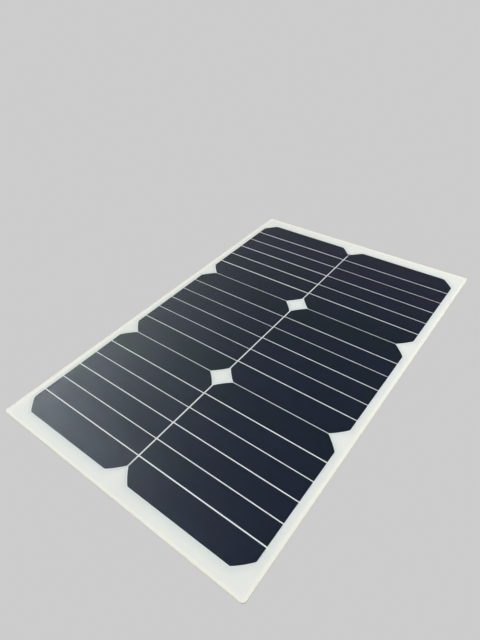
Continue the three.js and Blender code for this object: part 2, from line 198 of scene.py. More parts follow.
@dataclass(frozen=True)
class Clouds:
    """Soft patches of a second colour, of a size in millimetres."""

    first: str
    second: str
    size: float
    detail: float = 2.0

    def colour(self, tree: Tree, point: Socket) -> tuple[Socket, Socket]:
        """Mixes the two colours.

        Args:
            tree: the material's tree.
            point: the place on the object.

        Returns:
            The second colour's share, and the mixed colour.
        """
        noise = {"Vector": point, "Scale": 1 / (self.size * MM), "Detail": self.detail}
        share = add_node(tree, "TexNoise", noise)
        parts = {0: share, 6: linear(self.first), 7: linear(self.second)}
        return share, add_node(tree, "Mix", parts, out=2, data_type="RGBA")


@dataclass(frozen=True)
class Grain:
    """A fine relief, as a tool or an etch leaves it, with its size and depth in millimetres."""

    size: float
    depth: float
    strength: float = 0.6
    detail: float = 2.0

    def shader(
        self, tree: Tree, point: Socket, looks: dict[str, object], under: Socket | None = None
    ) -> Socket:
        """Builds a surface with this relief.

        Args:
            tree: the material's tree.
            point: the place on the object.
            looks: the shader's own inputs.
            under: the normal of a broader relief under this one.

        Returns:
            The shader's output.
        """
        noise = {"Vector": point, "Scale": 1 / (self.size * MM), "Detail": self.detail}
        height = add_node(tree, "TexNoise", noise)
        relief = {"Height": height, "Distance": self.depth * MM, "Strength": self.strength}
        if under is not None:
            relief["Normal"] = under
        normal = add_node(tree, "Bump", relief)
        return add_node(tree, "BsdfPrincipled", {**looks, "Normal": normal})


@dataclass(frozen=True)
class SheetWave:
    """How the thin laminate's face departs from flat, too little to show in its outline.

    It has a faint orange peel of a few millimetres, waves over a hand's width, and bows over the
    box under its near end. Reflections slide a little from one place to the next.
    """

    peel: float = 3.0
    peel_depth: float = 0.004
    wave: float = 90.0
    wave_depth: float = 0.5
    bow_start: float = -150.0
    bow_end: float = -205.0
    bow_depth: float = 3.6
    bow_power: float = 2.0

    def normal(self, tree: Tree, point: Socket) -> Socket:
        """Leans the face as its height changes.

        Args:
            tree: the material's tree.
            point: the place on the object.

        Returns:
            The normal's output.
        """
        along = add_node(tree, "SeparateXYZ", {"Vector": point}, out="Y")
        past = add_node(tree, "MapRange", {0: along, 1: self.bow_start * MM, 2: self.bow_end * MM})
        bow = add_node(tree, "Math", {0: past, 1: self.bow_power}, operation="POWER")
        height = add_node(tree, "Math", {0: bow, 1: -self.bow_depth}, operation="MULTIPLY")
        for size, depth, detail in (
            (self.wave, self.wave_depth, 0.0),
            (self.peel, self.peel_depth, 1.0),
        ):
            noise = {"Vector": point, "Scale": 1 / (size * MM), "Detail": detail}
            sums = {0: add_node(tree, "TexNoise", noise), 1: depth, 2: height}
            height = add_node(tree, "Math", sums, operation="MULTIPLY_ADD")
        return add_node(tree, "Bump", {"Height": height, "Distance": MM, "Strength": 1.0})


SHEET = SheetWave()


@dataclass(frozen=True)
class ClearFilm(Finish):
    """Fluoropolymer front film, laminated against a matt release sheet.

    It is clear, and the release sheet leaves a satin skin: the cells show through sharply, and
    lamps show only as broad soft patches. Over the cells most of the gloss is told by their own
    finish, as the two reflections lie one on the other.
    """

    roughness: float = 0.34
    index: float = 1.2
    clearness: float = 0.99

    def surface(self, tree: Tree) -> Socket:
        """Builds a see-through skin with a satin reflection on its outer side.

        Args:
            tree: the material's tree.

        Returns:
            The shader's output.
        """
        normal = SHEET.normal(tree, add_node(tree, "TexCoord", out="Object"))
        satin = {"Color": WHITE_LIGHT, "Roughness": self.roughness, "Normal": normal}
        gloss = add_node(tree, "BsdfAnisotropic", satin)
        passed = (self.clearness, self.clearness, self.clearness, 1.0)
        clear = add_node(tree, "BsdfTransparent", {"Color": passed})
        fresnel = add_node(tree, "Fresnel", {"IOR": self.index, "Normal": normal})
        inside = add_node(tree, "NewGeometry", out="Backfacing")
        outside = add_node(tree, "Math", {0: 1.0, 1: inside}, operation="SUBTRACT")
        share = add_node(tree, "Math", {0: fresnel, 1: outside}, operation="MULTIPLY")
        return add_node(tree, "MixShader", {0: share, 1: clear, 2: gloss})


@dataclass(frozen=True)
class ClearEncapsulant(Finish):
    """Clear cross-linked EVA, pressed flat between the film and the cells.

    The eye sees nothing of it but a trace of warmth, a little uneven from the press.
    """

    warmth: Clouds = Clouds("#fefefd", "#ffffff", 40.0)

    def surface(self, tree: Tree) -> Socket:
        """Builds a clear shader with a faint uneven tint.

        Args:
            tree: the material's tree.

        Returns:
            The shader's output.
        """
        _, colour = self.warmth.colour(tree, add_node(tree, "TexCoord", out="Object"))
        return add_node(tree, "BsdfTransparent", {"Color": colour})


@dataclass(frozen=True)
class WhiteEncapsulant(Finish):
    """White-filled EVA behind the cells, which shows as the borders and the lines.

    It is an even soft white. Over it lie painted light and shade: a grey-green painted shade
    beside each cell, where the laminate dips; painted light right against the cell, lifting the
    shade that the strips' sides cast into the gaps; and a paler painted highlight a little inside
    the edge, where the eased edge catches the lamps. In the last millimetres of the edge it turns
    cream, partly the trimmed edge's own colour and partly painted light coming in from the side.
    Each span runs from the distance where its colour is full to the one where it is gone.
    """

    white: Clouds = Clouds("#e8e8e4", "#e5e5e1", 9.0, 4.0)
    # painted shade: grey-green on the white beside each cell, where the laminate dips
    shade: str = "#dadfdb"
    shade_span: tuple[float, float] = (0.8, 7.0)
    # painted light: a brighter white right against each cell, lifting the shade that the strips'
    # sides cast into the gaps
    painted_gap_light: str = "#eef3f5"
    painted_gap_light_span: tuple[float, float] = (0.45, 0.75)
    # painted highlight: a paler band a little inside the edge, where the eased edge catches the
    # lamps
    band: str = "#eeede4"
    painted_edge_highlight_span: tuple[float, float] = (2.16, 3.6)
    # the cream edge is partly the trimmed edge's own colour and partly painted light coming in
    # through the cut side
    cream: str = "#eee8dd"
    cream_span: tuple[float, float] = (0.75, 1.5)
    edge_wander: float = 0.2
    grain: Grain = Grain(0.6, 0.01)
    roughness: float = 0.55
    specular: float = 0.1

    def surface(self, tree: Tree) -> Socket:
        """Builds the white from the distances to the nearest cell and to the panel's edge.

        Args:
            tree: the material's tree.

        Returns:
            The shader's output.
        """
        to_cell = add_node(tree, "Attribute", out="Fac", attribute_name="cell_distance")
        to_edge = add_node(tree, "Attribute", out="Fac", attribute_name="edge_distance")
        point = add_node(tree, "TexCoord", out="Object")
        mottle, colour = self.white.colour(tree, point)
        reach = {3: -self.edge_wander, 4: self.edge_wander}
        wander = add_node(tree, "MapRange", {0: mottle, 1: NOISE_LOW, 2: NOISE_HIGH, **reach})
        edge = add_node(tree, "Math", {0: to_edge, 1: wander}, operation="ADD")
        # Over the mottled white: painted shade beside the cells, painted light in the gaps, a
        # painted highlight inside the edge, and the cream edge, partly painted light
        for over, distance, (full, gone) in (
            (self.shade, to_cell, self.shade_span),
            (self.painted_gap_light, to_cell, self.painted_gap_light_span),
            (self.band, edge, self.painted_edge_highlight_span),
            (self.cream, edge, self.cream_span),
        ):
            fade = {0: distance, 1: full, 2: gone, 3: 1.0, 4: 0.0}
            share = add_node(tree, "MapRange", fade, interpolation_type="SMOOTHSTEP")
            parts = {0: share, 6: colour, 7: linear(over)}
            colour = add_node(tree, "Mix", parts, out=2, data_type="RGBA")
        looks = {
            "Base Color": colour,
            "Roughness": self.roughness,
            "Specular IOR Level": self.specular,
        }
        return self.grain.shader(tree, point, looks)


@dataclass(frozen=True)
class CoatedSilicon(Finish):
    """Monocrystalline silicon, etched to fine pyramids and coated against reflection.

    The etch kills the mirror of bare silicon, so the eye gets a soft near-black, and the coating
    gives it a blue cast that drifts to violet and green over a few centimetres and from one
    strip to the next. The sawn rim is darker. The pyramids are a hundredth of a millimetre, so
    they are drawn far coarser, as a faint sparkle. Each lean runs from the drift where its cast
    begins to the one where it is full.
    """

    drift: float = 26.0
    violet_lean: tuple[float, float] = (0.55, 0.95)
    green_lean: tuple[float, float] = (0.45, 0.05)
    pyramids: Grain = Grain(1.6, 0.004)
    rim_dark: float = 0.6
    sawn: str = "#0a0c0c"
    roughness: float = 0.36
    index: float = 1.42

    def surface(self, tree: Tree) -> Socket:
        """Builds the coating's drifting colour over the etched skin.

        Args:
            tree: the material's tree.

        Returns:
            The shader's output.
        """
        tint = add_node(tree, "Attribute", out="Fac", attribute_name="tint")
        rim = add_node(tree, "Attribute", out="Fac", attribute_name="rim")
        point = add_node(tree, "TexCoord", out="Object")
        scale = 1 / (self.drift * MM)
        drift = add_node(tree, "TexNoise", {"Vector": point, "Scale": scale, "Detail": 2.0})
        cast = add_node(tree, "Math", {0: drift, 1: tint}, operation="ADD")
        leans = [
            add_node(tree, "MapRange", {0: cast, 1: begins, 2: full})
            for begins, full in (self.violet_lean, self.green_lean)
        ]
        body, reflection = [self.cast_colour(tree, part, *leans) for part in (0, 1)]
        dark = add_node(tree, "Math", {0: rim, 1: self.rim_dark}, operation="MULTIPLY")
        parts = {0: dark, 6: body, 7: linear(self.sawn)}
        looks = {
            "Base Color": add_node(tree, "Mix", parts, out=2, data_type="RGBA"),
            "Roughness": self.roughness,
            "IOR": self.index,
            "Specular Tint": reflection,
        }
        return self.pyramids.shader(tree, point, looks, SHEET.normal(tree, point))

    def cast_colour(self, tree: Tree, part: int, to_violet: Socket, to_green: Socket) -> Socket:
        """Mixes one of the coating's two colours.

        Args:
            tree: the material's tree.
            part: 0 for the body's colour, 1 for the reflection's.
            to_violet: how far the coating leans to violet.
            to_green: how far it leans to green.

        Returns:
            The colour's output.
        """
        blue, violet, green = [linear(tint.value[part]) for tint in SiliconTint]
        parts = {0: to_violet, 6: blue, 7: violet}
        mixed = add_node(tree, "Mix", parts, out=2, data_type="RGBA")
        parts = {0: to_green, 6: mixed, 7: green}
        return add_node(tree, "Mix", parts, out=2, data_type="RGBA")


@dataclass(frozen=True)
class Solid(Finish):
    """An opaque solid with the even fine grain of its mould, press or tool.

    Lamps show as a soft sheen, which handling polishes or tarnish dulls in soft patches. The
    second colour and the second change of roughness belong to the patches. The stretch draws the
    grain out into lines along the axes where it is small.
    """

    colour: str
    patch: str
    roughness: float
    grain: float
    grain_depth: float
    cloud: float
    specular: float = 0.5
    stretch: tuple[float, float, float] = (1.0, 1.0, 1.0)
    metallic: float = 0.0
    plain_change: float = 0.06
    patch_change: float = -0.06
    cloud_detail: float = 5.0
    grain_detail: float = 2.0
    grain_strength: float = 0.8

    def surface(self, tree: Tree) -> Socket:
        """Builds a grained surface with uneven sheen.

        Args:
            tree: the material's tree.

        Returns:
            The shader's output.
        """
        point = add_node(tree, "TexCoord", out="Object")
        clouds = Clouds(self.colour, self.patch, self.cloud, self.cloud_detail)
        share, colour = clouds.colour(tree, point)
        plain, changed = self.roughness + self.plain_change, self.roughness + self.patch_change
        sheen = {0: share, 1: NOISE_LOW, 2: NOISE_HIGH, 3: plain, 4: changed}
        looks = {
            "Base Color": colour,
            "Metallic": self.metallic,
            "Roughness": add_node(tree, "MapRange", sheen),
            "Specular IOR Level": self.specular,
        }
        along = add_node(tree, "Mapping", {"Vector": point, "Scale": self.stretch})
        grain = Grain(self.grain, self.grain_depth, self.grain_strength, self.grain_detail)
        return grain.shader(tree, along, looks)


@dataclass(frozen=True)
class Metal(Solid):
    """A drawn, plated or machined metal with fine lines along the way it was worked.

    The lines spread the reflection across them, and tarnish dulls it in soft patches.
    """

    grain: float = 0.12
    grain_depth: float = 0.006
    cloud: float = 4.0
    stretch: tuple[float, float, float] = (1.0, 0.05, 1.0)
    metallic: float = 1.0
    plain_change: float = -0.06
    patch_change: float = 0.1
    cloud_detail: float = 4.0
    grain_detail: float = 3.0
    grain_strength: float = 0.7


FILM = ClearFilm("satin_fluoropolymer_film")
GEL = ClearEncapsulant("clear_eva")
WHITE = WhiteEncapsulant("white_eva")
SILICON = CoatedSilicon("etched_coated_silicon")
# Glass-fibre epoxy board, pressed and sawn: cream, with a dry, lightly torn edge.
BOARD = Solid("glass_fibre_board", "#e9e2cf", "#f0ead9", 0.6, 0.8, 0.02, 12.0, 0.3)
# White polyester back sheet, extruded and embossed: an even matt face with broad soft clouds.
REAR = Solid("matt_polyester_sheet", "#eceeea", "#e4e7e3", 0.62, 0.5, 0.02, 60.0, 0.4)
# Acrylic foam tape, cut from a roll: dull black with open pores along its cut side.
FOAM = Solid("closed_cell_foam_tape", "#1d1d1e", "#2a2a2b", 0.85, 0.4, 0.08, 6.0, 0.3)
# Black ABS blend, moulded in a spark-eroded tool: a coarse, even grain with a grey sheen.
SHELL = Solid("spark_eroded_abs", "#161618", "#202023", 0.48, 0.3, 0.02, 16.0)
# Black nylon, moulded in a smoother tool: a finer grain, a little waxy.
NYLON = Solid("moulded_nylon", "#1b1b1d", "#242427", 0.42, 0.2, 0.008, 9.0)
# Glass-filled polyester, moulded: warm grey, with faint flow clouds.
CARRIER = Solid("moulded_pbt", "#8f8a7d", "#9b968a", 0.5, 0.25, 0.01, 8.0)
# Silicone rubber, pressed in a mould: soft, dusty and without a highlight.
RUBBER = Solid("moulded_silicone_rubber", "#262628", "#303032", 0.75, 0.2, 0.01, 7.0, 0.35)
# Filled epoxy, transfer-moulded round the diode: small, hard and half glossy.
EPOXY = Solid("moulded_epoxy", "#101011", "#1a1a1b", 0.35, 0.15, 0.006, 5.0)
# White ink, printed round the diode: flat and slightly worn.
BAND = Solid("printed_band", "#b9bcbd", "#a5a9aa", 0.5, 0.15, 0.004, 3.0)
# Copper strip, hot-dipped in tin: bright, with faint lines along its length and dull spots.
TINNED = Metal("tinned_copper", "#cfcfca", "#a3a39c", 0.34)
# Brass bar, milled: cutter lines across it and a brown bloom.
BRASS = Metal("machined_brass", "#c9a662", "#94793f", 0.3, 0.1, stretch=(0.1, 1.0, 1.0))
# Steel, turned and zinc-plated: cool grey with rings from the turning.
ZINC = Metal("zinc_plated_steel", "#c3c6c9", "#8f9498", 0.3, 0.08, stretch=(1.0, 1.0, 0.1))


# ---------------- pieces


@dataclass(frozen=True)
class Label:
    """What a new piece is called, is made of, rides on and stands for."""

    name: str
    finish: Finish
    slot: str
    node: str = ""
    body: str = "panel"


def make_piece(
    label: Label, points: np.ndarray | list, faces: list, edges: list | None = None
) -> Piece:
    """Makes one piece from points in millimetres, in the row frame, and dresses it.

    Args:
        label: what the piece is.
        points: its vertices.
        faces: its faces, as vertex numbers.
        edges: its loose edges, if it is only a profile.

    Returns:
        The object, at the origin.
    """
    mesh = bpy.data.meshes.new(label.name)
    mesh.from_pydata([tuple(float(c) * MM for c in p) for p in points], edges or [], faces)
    mesh.update()
    piece = bpy.data.objects.new(label.name, mesh)
    bpy.context.scene.collection.objects.link(piece)
    mesh.materials.append(label.finish.material())
    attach(piece, label.body)
    if label.node:
        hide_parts(label.node)
    return piece


def dress(node: str, finish: Finish) -> None:
    """Gives a carried-over CAD node its finish.

    Args:
        node: the node's name.
        finish: what it is made of.
    """
    materials = frame["nodes"][node].data.materials
    materials.clear()
    materials.append(finish.material())


def write_values(piece: Piece, **values: np.ndarray | list) -> None:
    """Stores one number for each vertex, for the finishes to read.

    Args:
        piece: the piece.
        **values: each attribute's numbers.
    """
    for name, numbers in values.items():
        attribute = piece.data.attributes.new(name, "FLOAT", "POINT")
        attribute.data.foreach_set("value", np.asarray(numbers, np.float32))


def add_modifier(piece: Piece, kind: str, **settings: object) -> None:
    """Adds one modifier with its settings.

    Args:
        piece: the piece.
        kind: the modifier's type.
        **settings: its properties.
    """
    modifier = piece.modifiers.new(kind.lower(), kind)
    for name, value in settings.items():
        setattr(modifier, name, value)


def ease_edges(piece: Piece, width: float, sharpest: float) -> None:
    """Rounds a piece's hard edges, as a mould or a tumbler leaves them.

    Args:
        piece: the piece.
        width: how far each edge is eased, in millimetres.
        sharpest: the angle past which an edge is hard, in degrees.
    """
    piece.data.shade_smooth()
    limit = {"limit_method": "ANGLE", "angle_limit": math.radians(sharpest)}
    add_modifier(piece, "BEVEL", width=width * MM, segments=2, harden_normals=True, **limit)


def ease_copy(label: Label, width: float) -> None:
    """Makes a copy of a CAD node with its hard edges eased.

    Args:
        label: what the piece is, and the node that it copies.
        width: how far each edge is eased, in millimetres.
    """
    shape = bmesh.new()
    shape.from_mesh(frame["nodes"][label.node].data)
    bmesh.ops.remove_doubles(shape, verts=shape.verts, dist=WELD * MM)
    angle = math.radians(FLAT)
    bmesh.ops.dissolve_limit(shape, angle_limit=angle, verts=shape.verts, edges=shape.edges)
    bmesh.ops.recalc_face_normals(shape, faces=shape.faces)
    points = [tuple(c / MM for c in v.co) for v in shape.verts]
    faces = [tuple(v.index for v in f.verts) for f in shape.faces]
    shape.free()
    ease_edges(make_piece(label, points, faces), width, HARD)


def raise_outlines(
    label: Label, outlines: list[Outline], low: float, high: float, width: float
) -> None:
    """Raises flat outlines into one piece with eased edges.

    Args:
        label: what the piece is.
        outlines: each outline's corners, anticlockwise, in millimetres.
        low: the piece's lower level.
        high: its upper level.
        width: how far each edge is eased.
    """
    points, faces = [], []
    for outline in outlines:
        first, count = len(points), len(outline)
        points += [(x, y, z) for z in (low, high) for x, y in outline]
        sides = [(first + k, first + (k + 1) % count) for k in range(count)]
        faces += [(a, b, b + count, a + count) for a, b in sides]
        faces += [tuple(a for a, _ in reversed(sides)), tuple(a + count for a, _ in sides)]
    ease_edges(make_piece(label, points, faces), width, RAISED_HARD)


def rectangle(x0: float, y0: float, x1: float, y1: float) -> Outline:
    """Walks round a rectangle, anticlockwise from its lowest corner."""
    return [(x0, y0), (x1, y0), (x1, y1), (x0, y1)]


def both_ends(half: Outline, length: float) -> Outline:
    """Completes a turned profile with the mirror image of its upper end."""
    return half + [(r, length - h) for r, h in reversed(half)]


def turn_piece(label: Label, profile: Outline, place: Place) -> None:
    """Makes a round piece by turning a profile, as on a lathe, and lays it along +Y.

    Its shape and its place are applied.

    Args:
        label: what the piece is.
        profile: radius and height of each point, in millimetres, from the top down.
        place: where the profile's origin goes, in millimetres.
    """
    edges = [(k, k + 1) for k in range(len(profile) - 1)]
    piece = make_piece(label, [(r, 0.0, h) for r, h in profile], [], edges)
    add_modifier(
        piece,
        "SCREW",
        axis="Z",
        steps=TURN_STEPS,
        render_steps=TURN_STEPS,
        use_merge_vertices=True,
        merge_threshold=TURN_MERGE * MM,
        use_smooth_shade=True,
    )
    graph = bpy.context.evaluated_depsgraph_get()
    shaped = bpy.data.meshes.new_from_object(piece.evaluated_get(graph))
    seat = Matrix.Translation(Vector(place) * MM) @ Matrix.Rotation(math.radians(-90), 4, "X")
    shaped.transform(seat)
    shaped.set_sharp_from_angle(angle=math.radians(TURNED_HARD))
    piece.modifiers.clear()
    piece.data = shaped


# ---------------- laminate


@dataclass
class Strip:
    """One strip of a cell: a slice of a pseudo-square, cut across the column."""

    node: str
    side: int
    low: np.ndarray
    high: np.ndarray
    ingot_radius: float = 80.0
    arc_steps: int = 6

    @property
    def cell_centre(self) -> tuple[float, float]:
        """Finds the centre of the whole cell, which is also the ingot's.

        Returns:
            Its place across and along the panel.
        """
        half = (self.high[0] - self.low[0]) / 2
        y = self.low[1] + half if self.side < 0 else self.high[1] - half
        return self.low[0] + half, y

    def outline(self, inset: float = 0.0) -> Outline:
        """Walks round the strip, anticlockwise.

        Args:
            inset: how far inside the sawn edge the walk stays.

        Returns:
            The points, all on one level.
        """
        x0, y0 = self.low[0] + inset, self.low[1] + inset
        x1, y1 = self.high[0] - inset, self.high[1] - inset
        if self.side == 0:
            return rectangle(x0, y0, x1, y1)
        cx, cy = self.cell_centre
        radius = self.ingot_radius - inset
        half = (x1 - x0) / 2
        arc = np.linspace(math.acos(half / radius), math.asin(half / radius), self.arc_steps + 1)
        right = [(cx + radius * math.cos(a), cy + self.side * radius * math.sin(a)) for a in arc]
        left = [(2 * cx - x, y) for x, y in reversed(right)]
        if self.side > 0:
            return [(x0, y0), (x1, y0), *right, *left]
        return [(x1, y1), (x0, y1), *reversed(left), *reversed(right)]

    def distance(self, x: np.ndarray, y: np.ndarray) -> np.ndarray:
        """Measures how far points lie outside the strip.

        Args:
            x: the points' places across the panel.
            y: their places along it.

        Returns:
            The distances, negative inside.
        """
        middle, half = (self.low + self.high) / 2, (self.high - self.low) / 2
        dx, dy = np.abs(x - middle[0]) - half[0], np.abs(y - middle[1]) - half[1]
        flat = np.hypot(np.maximum(dx, 0), np.maximum(dy, 0)) + np.minimum(np.maximum(dx, dy), 0)
        if self.side == 0:
            return flat
        cx, cy = self.cell_centre
        return np.maximum(flat, np.hypot(x - cx, y - cy) - self.ingot_radius)


@dataclass
class Skin:
    """The grid that the laminate's soft layers share, fine where the cells' edges are."""

    strips: list[Strip]
    low: np.ndarray
    high: np.ndarray
    corner_radius: float = 3.0
    edge_steps: tuple[float, ...] = (0.0, 0.35, 0.8, 1.4, 2.2, 3.2, 5.0)
    rim_steps: tuple[float, ...] = (-0.3, 0.0, 0.4, 0.9, 1.8, 3.2)
    notch: float = 14.0
    notch_step: float = 1.75
    closest: float = 0.12
    bare_edge: float = 1.3

    def lines(self, axis: int) -> np.ndarray:
        """Places the grid's lines across one axis.

        Args:
            axis: 0 for x, 1 for y.

        Returns:
            The lines' places, in order.
        """
        low, high = self.low[axis], self.high[axis]
        places = [low + s for s in self.edge_steps] + [high - s for s in self.edge_steps]
        for strip in self.strips:
            for edge, out in ((strip.low[axis], -1), (strip.high[axis], 1)):
                steps = list(self.rim_steps)
                if axis == 0 or strip.side == out:
                    steps += list(-np.arange(self.notch_step, self.notch, self.notch_step))
                places += [edge + out * s for s in steps]
        kept = []
        for place in sorted(p for p in places if low <= p <= high):
            if not kept or place - kept[-1] >= self.closest:
                kept.append(place)
        kept[-1] = high
        return np.array(kept)

    def build(self, height: float, dip: float) -> tuple[np.ndarray, list, np.ndarray, np.ndarray]:
        """Makes the grid, sunk a little wherever no cell holds it up.

        Args:
            height: its level over the cells.
            dip: how far it sinks well away from them.

        Returns:
            The points, the faces, and each point's distance to a cell and to the panel's edge.
        """
        xs, ys = self.lines(0), self.lines(1)
        x, y = [a.ravel() for a in np.meshgrid(xs, ys)]
        to_cell = np.min([s.distance(x, y) for s in self.strips], axis=0)
        to_edge = np.minimum(
            np.minimum(x - self.low[0] - self.bare_edge, self.high[0] - x),
            np.minimum(y - self.low[1], self.high[1] - self.bare_edge - y),
        )
        x, y = self.round_corners(x, y)
        share = np.clip(to_cell, 0, 1)
        z = height - dip * share * share * (3 - 2 * share)
        row = len(xs)
        faces = [
            (first, first + 1, first + row + 1, first + row)
            for start in range(0, row * (len(ys) - 1), row)
            for first in range(start, start + row - 1)
        ]
        return np.stack([x, y, z], axis=1), faces, to_cell, to_edge

    def round_corners(self, x: np.ndarray, y: np.ndarray) -> tuple[np.ndarray, np.ndarray]:
        """Draws the square corners of the grid in to the panel's round ones.

        Args:
            x: the points' places across the panel.
            y: their places along it.

        Returns:
            The new places.
        """
        middle = (self.low + self.high) / 2
        half = (self.high - self.low) / 2 - self.corner_radius
        u = np.maximum(np.abs(x - middle[0]) - half[0], 0)
        v = np.maximum(np.abs(y - middle[1]) - half[1], 0)
        pull = np.ones_like(u)
        np.divide(np.maximum(u, v), np.hypot(u, v), out=pull, where=(u > 0) & (v > 0))
        new_x = x - np.sign(x - middle[0]) * u * (1 - pull)
        new_y = y - np.sign(y - middle[1]) * v * (1 - pull)
        return new_x, new_y


@dataclass
class Laminate:
    """The panel itself: skins, encapsulants, 36 strips, their tabs and the backing."""

    film_thickness: float = 0.14
    film_dip: float = 0.05
    gap_below_strip: float = 0.02
    strip_clearance: float = 0.02
    strip_ease: float = 0.03
    rim_width: float = 0.45
    rim_fade: float = 1.0
    tint_spread: float = 0.17
    tint_lean: float = 0.35
    tint_balance: float = 0.4
    cells: int = 3
    strips_per_cell: int = 6
    tab_inset: float = 18.0
    tab_reach: float = 2.6
    tab_pad: float = 3.0
    tab_shoulder: float = 1.5
    tab_neck: float = 1.6
    tab_neck_end: float = 0.8
    tab_dip: float = 0.06
    tab_thickness: float = 0.12

    def build(self) -> None:
        """Builds every piece of the laminate."""
        strips = self.list_strips()
        low, high = box_mm("front_film")
        skin = Skin(strips, low[:2], high[:2])
        self.build_film(skin, high[2])
        self.build_white(skin)
        rng = np.random.default_rng(SEED)
        for strip in strips:
            along = strip.low[1] / high[1]
            lean = self.tint_lean * (along * along - self.tint_balance)
            tint = lean + float(rng.uniform(-1, 1)) * self.tint_spread
            self.build_strip(strip, tint)
        for column, outward in (("left", -1), ("right", 1)):
            self.build_tabs(column, outward, [s for s in strips if s.node.startswith(column)])
        dress("front_encapsulant", GEL)
        dress("backing_board", BOARD)
        dress("rear_sheet", REAR)
        dress("cross_ribbon", TINNED)

    def list_strips(self) -> list[Strip]:
        """Lists the strips, up the left column and then up the right one.

        Returns:
            The strips.
        """
        strips, last = [], self.strips_per_cell
        for column in ("left", "right"):
            for cell in range(1, self.cells + 1):
                for number in range(1, last + 1):
                    node = f"{column}_cell_{cell}_strip_{number}"
                    side = (number == last) - (number == 1)
                    strips.append(Strip(node, side, *box_mm(node)))
        return strips

    def build_film(self, skin: Skin, top: float) -> None:
        """Builds the front film, which sinks a little along every gap.

        Args:
            skin: the grid.
            top: the film's outer level over the cells.
        """
        points, faces, _, _ = skin.build(top, self.film_dip)
        label = Label("film_skin", FILM, "front_film", "front_film")
        film = make_piece(label, points, faces)
        film.data.shade_smooth()
        add_modifier(film, "SOLIDIFY", thickness=self.film_thickness * MM, offset=-1.0)

    def build_white(self, skin: Skin) -> None:
        """Builds the white layer behind the cells.

        Args:
            skin: the grid.
        """
        low, high = box_mm("rear_encapsulant")
        top = high[2] - self.gap_below_strip
        points, faces, to_cell, to_edge = skin.build(top, 0.0)
        label = Label("white_layer", WHITE, "rear_encapsulant", "rear_encapsulant")
        white = make_piece(label, points, faces)
        write_values(white, cell_distance=to_cell, edge_distance=to_edge)
        add_modifier(white, "SOLIDIFY", thickness=(top - low[2]) * MM, offset=-1.0)

    def build_strip(self, strip: Strip, tint: float) -> None:
        """Builds one strip, whose top has a ring for the sawn rim.

        Args:
            strip: the strip's place and outline.
            tint: where its coating's colour sits in the spread.
        """
        top = strip.high[2] - self.strip_clearance
        rings = [
            (0.0, strip.low[2], 1.0),
            (0.0, top - self.strip_ease, 1.0),
            (self.strip_ease, top, 1.0),
            (self.rim_width, top, 1.0),
            (self.rim_fade, top, 0.0),
        ]
        points = [(x, y, z) for inset, z, _ in rings for x, y in strip.outline(inset)]
        count = len(points) // len(rings)
        rim = np.repeat([value for _, _, value in rings], count)
        faces = [
            (k + i, k + (i + 1) % count, k + count + (i + 1) % count, k + count + i)
            for k in range(0, len(points) - count, count)
            for i in range(count)
        ]
        faces.append(tuple(range(len(points) - count, len(points))))
        faces.append(tuple(reversed(range(count))))
        name = strip.node.replace("strip", "slice")
        piece = make_piece(Label(name, SILICON, "silicon", strip.node), points, faces)
        write_values(piece, rim=rim, tint=[tint] * len(points))

    def build_tabs(self, column: str, outward: int, strips: list[Strip]) -> None:
        """Builds the short tabs that join each strip to the next, at alternate ends.

        Args:
            column: "left" or "right".
            outward: the way to the panel's side, -1 or 1.
            strips: the column's strips, in order.
        """
        for number, (below, above) in enumerate(zip(strips, strips[1:]), start=1):
            middle = (below.high[1] + above.low[1]) / 2
            end = outward if number % 2 else -outward
            x = (below.low[0] if end < 0 else below.high[0]) - end * self.tab_inset
            top = below.low[2]
            half = [
                (self.tab_reach, self.tab_pad, top),
                (self.tab_shoulder, self.tab_pad, top),
                (self.tab_neck_end, self.tab_neck, top - self.tab_dip),
            ]
            rows = [(-dy, w, z) for dy, w, z in half] + half[::-1]
            points = [(x + s * w, middle + dy, z) for dy, w, z in rows for s in (-1, 1)]
            faces = [(2 * k, 2 * k + 1, 2 * k + 3, 2 * k + 2) for k in range(len(rows) - 1)]
            tab = make_piece(Label(f"{column}_tab_{number}", TINNED, "ribbon"), points, faces)
            add_modifier(tab, "SOLIDIFY", thickness=self.tab_thickness * MM, offset=-1.0)


# ---------------- junction box and gland


